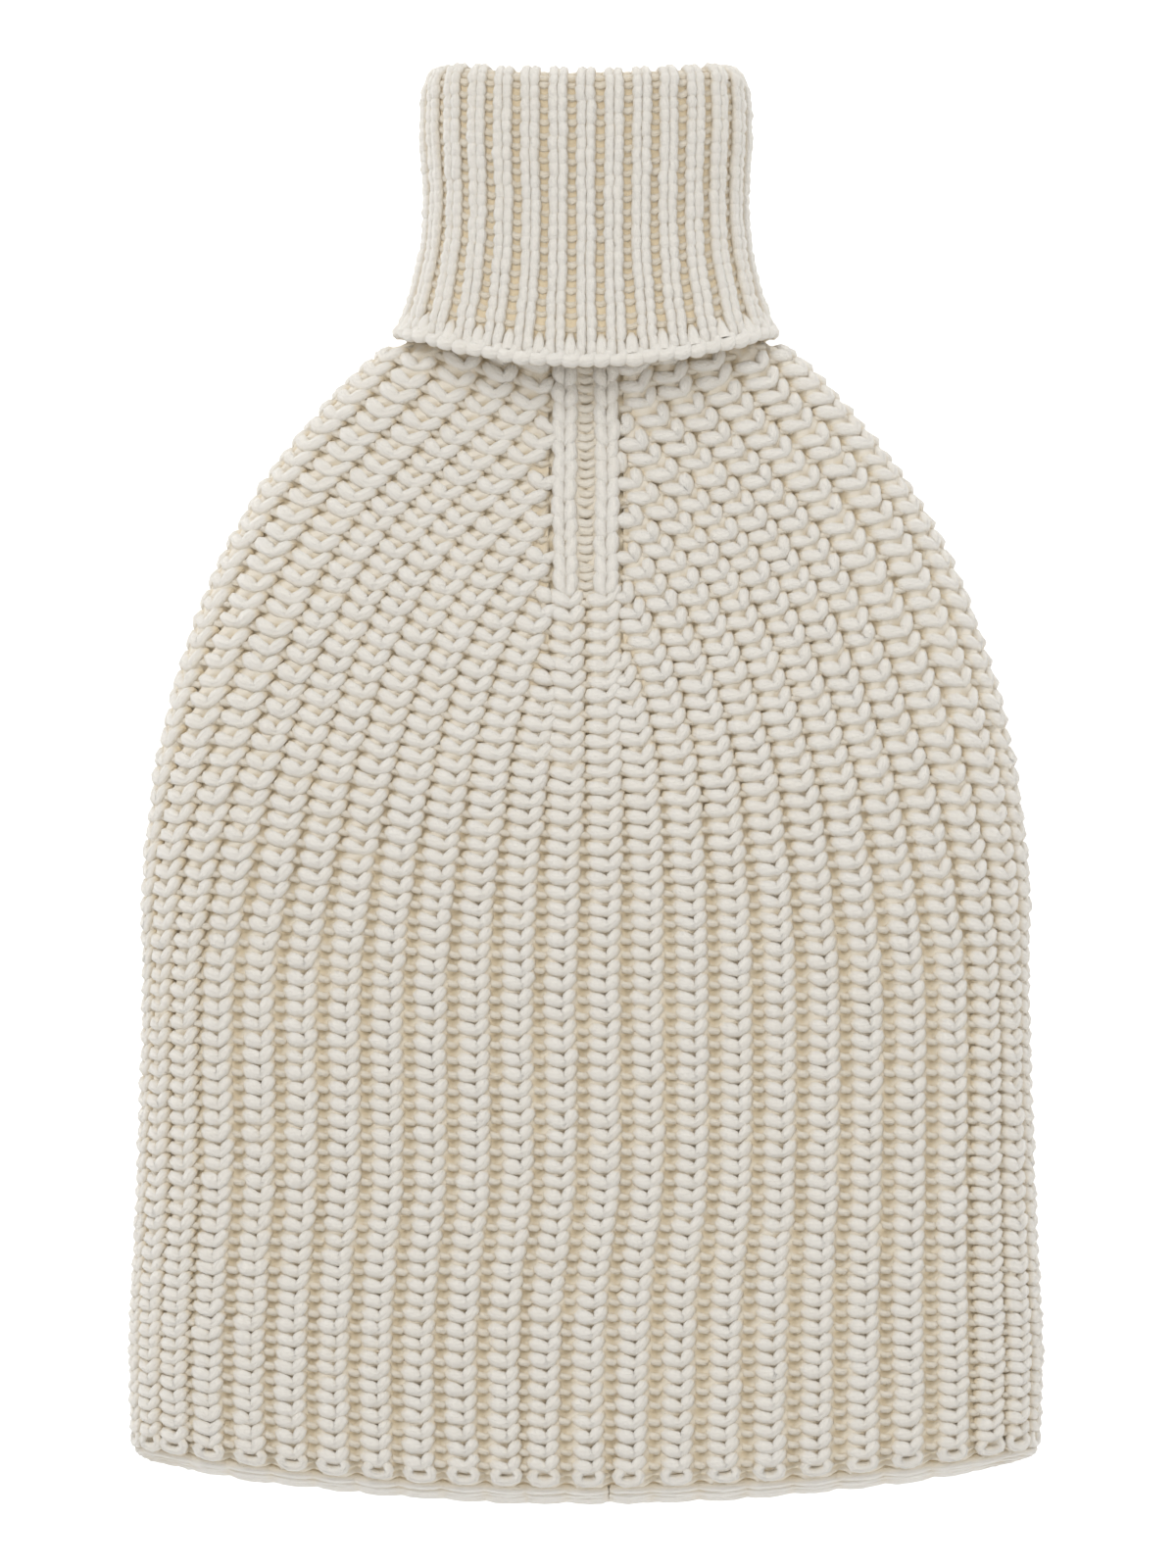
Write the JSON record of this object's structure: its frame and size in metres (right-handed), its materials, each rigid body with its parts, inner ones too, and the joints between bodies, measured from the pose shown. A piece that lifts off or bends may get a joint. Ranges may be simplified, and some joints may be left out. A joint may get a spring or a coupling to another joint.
{
  "type": "knitted hot water bottle cover",
  "caption": "Chunky rib-knit cover with rounded shoulders, a closed lower edge and a turned-down collar at its open neck.",
  "frame": {"origin": "centre of the footprint on the surface that the cover lies on", "axes": "+Y towards the open neck, +Z out of the front face, +X to the right seen from the front"},
  "size_m": [0.2258, 0.3562, 0.0516],
  "materials": {
    "wool_knit": "matte, soft cream wool in a chunky rib knit"
  },
  "bodies": {
    "root": {"cover": "wool_knit"}
  },
  "joints": []
}
